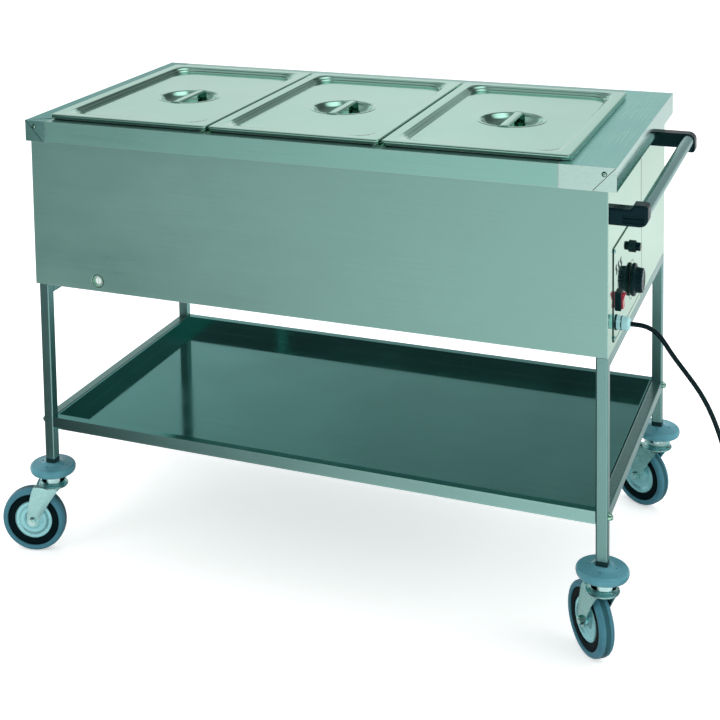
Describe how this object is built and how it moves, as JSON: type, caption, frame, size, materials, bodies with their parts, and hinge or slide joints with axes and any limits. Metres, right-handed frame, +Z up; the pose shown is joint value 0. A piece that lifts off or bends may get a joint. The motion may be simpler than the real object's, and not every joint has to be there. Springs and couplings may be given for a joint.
{
  "type": "steam table unit",
  "caption": "Wheeled stainless steam table: a heated well with lidded food pans in a flat deck, lower shelf, end handle, thermostat, drain and swivel casters with round bumpers.",
  "frame": {"origin": "on the floor, at the middle of the whole footprint (the casters, handle and cord included)", "axes": "+Z up, +X towards the end with the handle and controls, -Y towards the front with the drain"},
  "size_m": [1.4112, 0.6862, 0.864],
  "materials": {
    "brushed_stainless": "brushed",
    "satin_stainless_panels": "satin",
    "polished_stainless": "polished",
    "pressed_stainless": "satin",
    "zinc_plate": "zinc plated",
    "element_sheath": "heat darkened",
    "black_plastic": "fine texture",
    "red_plastic": "gloss",
    "grey_plastic": "satin",
    "white_plastic": "satin",
    "dark_plastic": "satin",
    "bumper_rubber": "matt",
    "tread_rubber": "matt",
    "cord_rubber": "satin",
    "mineral_wool": "fibrous"
  },
  "bodies": {
    "chassis": {"left_end_frame": "brushed_stainless", "right_end_frame": "brushed_stainless", "leg_collars": "dark_plastic", "shelf_tray": "polished_stainless", "shelf_bolts": "polished_stainless", "front_panel": "satin_stainless_panels", "back_panel": "satin_stainless_panels", "left_end_panel": "satin_stainless_panels", "right_end_panel_front": "polished_stainless", "right_end_panel_rear": "polished_stainless", "bottom_panel": "satin_stainless_panels", "control_plate": "polished_stainless", "panel_screws": "zinc_plate", "deck_left_cap": "brushed_stainless", "deck_right_cap": "brushed_stainless", "deck_front_strip": "brushed_stainless", "deck_back_strip": "brushed_stainless", "deck_rivets": "polished_stainless", "water_tank": "satin_stainless_panels", "tank_insulation": "mineral_wool", "heating_element": "element_sheath", "drain_pipe": "polished_stainless", "crossbars": "brushed_stainless", "thermostat": "zinc_plate", "safety_cutout": "dark_plastic", "switch_housing": "black_plastic", "terminal_block": "white_plastic", "cable_gland": "grey_plastic", "gland_cap_nut": "grey_plastic", "mains_cord": "cord_rubber", "handle_tube": "brushed_stainless", "handle_brackets": "black_plastic", "caster_bumpers": "bumper_rubber", "caster_heads": "zinc_plate"},
    "left_pan": {"pan_left": "pressed_stainless"},
    "left_lid": {"lid_left": "pressed_stainless"},
    "middle_pan": {"pan_middle": "pressed_stainless"},
    "middle_lid": {"lid_middle": "pressed_stainless"},
    "right_pan": {"pan_right": "pressed_stainless"},
    "right_lid": {"lid_right": "pressed_stainless"},
    "knob": {"thermostat_knob": "black_plastic"},
    "reset": {"reset_button": "black_plastic"},
    "rocker": {"switch_rocker": "red_plastic"},
    "plug": {"drain_plug": "white_plastic"},
    "fork_front_left": {"caster_fork_front_left": "zinc_plate", "caster_axle_front_left": "zinc_plate"},
    "wheel_front_left": {"caster_hub_front_left": "zinc_plate", "caster_tyre_front_left": "tread_rubber"},
    "fork_front_right": {"caster_fork_front_right": "zinc_plate", "caster_axle_front_right": "zinc_plate"},
    "wheel_front_right": {"caster_hub_front_right": "zinc_plate", "caster_tyre_front_right": "tread_rubber"},
    "fork_rear_left": {"caster_fork_rear_left": "zinc_plate", "caster_axle_rear_left": "zinc_plate"},
    "wheel_rear_left": {"caster_hub_rear_left": "zinc_plate", "caster_tyre_rear_left": "tread_rubber"},
    "fork_rear_right": {"caster_fork_rear_right": "zinc_plate", "caster_axle_rear_right": "zinc_plate"},
    "wheel_rear_right": {"caster_hub_rear_right": "zinc_plate", "caster_tyre_rear_right": "tread_rubber"}
  },
  "joints": [
    {"name": "lift_pan_left", "type": "slide", "parent": "chassis", "child": "left_pan", "axis": [0, 0, 1], "range_m": [0, 0.2]},
    {"name": "lift_lid_left", "type": "slide", "parent": "left_pan", "child": "left_lid", "axis": [0, 0, 1], "range_m": [0, 0.25]},
    {"name": "lift_pan_middle", "type": "slide", "parent": "chassis", "child": "middle_pan", "axis": [0, 0, 1], "range_m": [0, 0.2]},
    {"name": "lift_lid_middle", "type": "slide", "parent": "middle_pan", "child": "middle_lid", "axis": [0, 0, 1], "range_m": [0, 0.25]},
    {"name": "lift_pan_right", "type": "slide", "parent": "chassis", "child": "right_pan", "axis": [0, 0, 1], "range_m": [0, 0.2]},
    {"name": "lift_lid_right", "type": "slide", "parent": "right_pan", "child": "right_lid", "axis": [0, 0, 1], "range_m": [0, 0.25]},
    {"name": "turn_thermostat", "type": "hinge", "parent": "chassis", "child": "knob", "pos_m": [0.46259, -0.09317, 0.6], "axis": [1, 0, 0], "range_deg": [-270, 0]},
    {"name": "press_reset", "type": "slide", "parent": "chassis", "child": "reset", "axis": [-1, 0, 0], "range_m": [0, 0.003]},
    {"name": "tip_switch", "type": "hinge", "parent": "chassis", "child": "rocker", "pos_m": [0.4623, -0.21617, 0.604], "axis": [0, 1, 0], "range_deg": [-12, 0]},
    {"name": "draw_drain_plug", "type": "slide", "parent": "chassis", "child": "plug", "axis": [0, -1, 0], "range_m": [0, 0.05]},
    {"name": "swivel_front_left", "type": "hinge", "parent": "chassis", "child": "fork_front_left", "pos_m": [-0.60491, -0.29917, 0.141], "axis": [0, 0, 1], "continuous": true},
    {"name": "roll_front_left", "type": "hinge", "parent": "fork_front_left", "child": "wheel_front_left", "pos_m": [-0.64354, -0.30952, 0.0625], "axis": [0.2588, -0.9659, 0], "continuous": true},
    {"name": "swivel_front_right", "type": "hinge", "parent": "chassis", "child": "fork_front_right", "pos_m": [0.4521, -0.29917, 0.141], "axis": [0, 0, 1], "continuous": true},
    {"name": "roll_front_right", "type": "hinge", "parent": "fork_front_right", "child": "wheel_front_right", "pos_m": [0.42692, -0.26809, 0.0625], "axis": [-0.7771, -0.6293, 0], "continuous": true},
    {"name": "swivel_rear_left", "type": "hinge", "parent": "chassis", "child": "fork_rear_left", "pos_m": [-0.60491, 0.28283, 0.141], "axis": [0, 0, 1], "continuous": true},
    {"name": "roll_rear_left", "type": "hinge", "parent": "fork_rear_left", "child": "wheel_rear_left", "pos_m": [-0.64116, 0.26592, 0.0625], "axis": [0.4226, -0.9063, 0], "continuous": true},
    {"name": "swivel_rear_right", "type": "hinge", "parent": "chassis", "child": "fork_rear_right", "pos_m": [0.4521, 0.28283, 0.141], "axis": [0, 0, 1], "continuous": true},
    {"name": "roll_rear_right", "type": "hinge", "parent": "fork_rear_right", "child": "wheel_rear_right", "pos_m": [0.41745, 0.30283, 0.0625], "axis": [-0.5, -0.866, 0], "continuous": true}
  ]
}
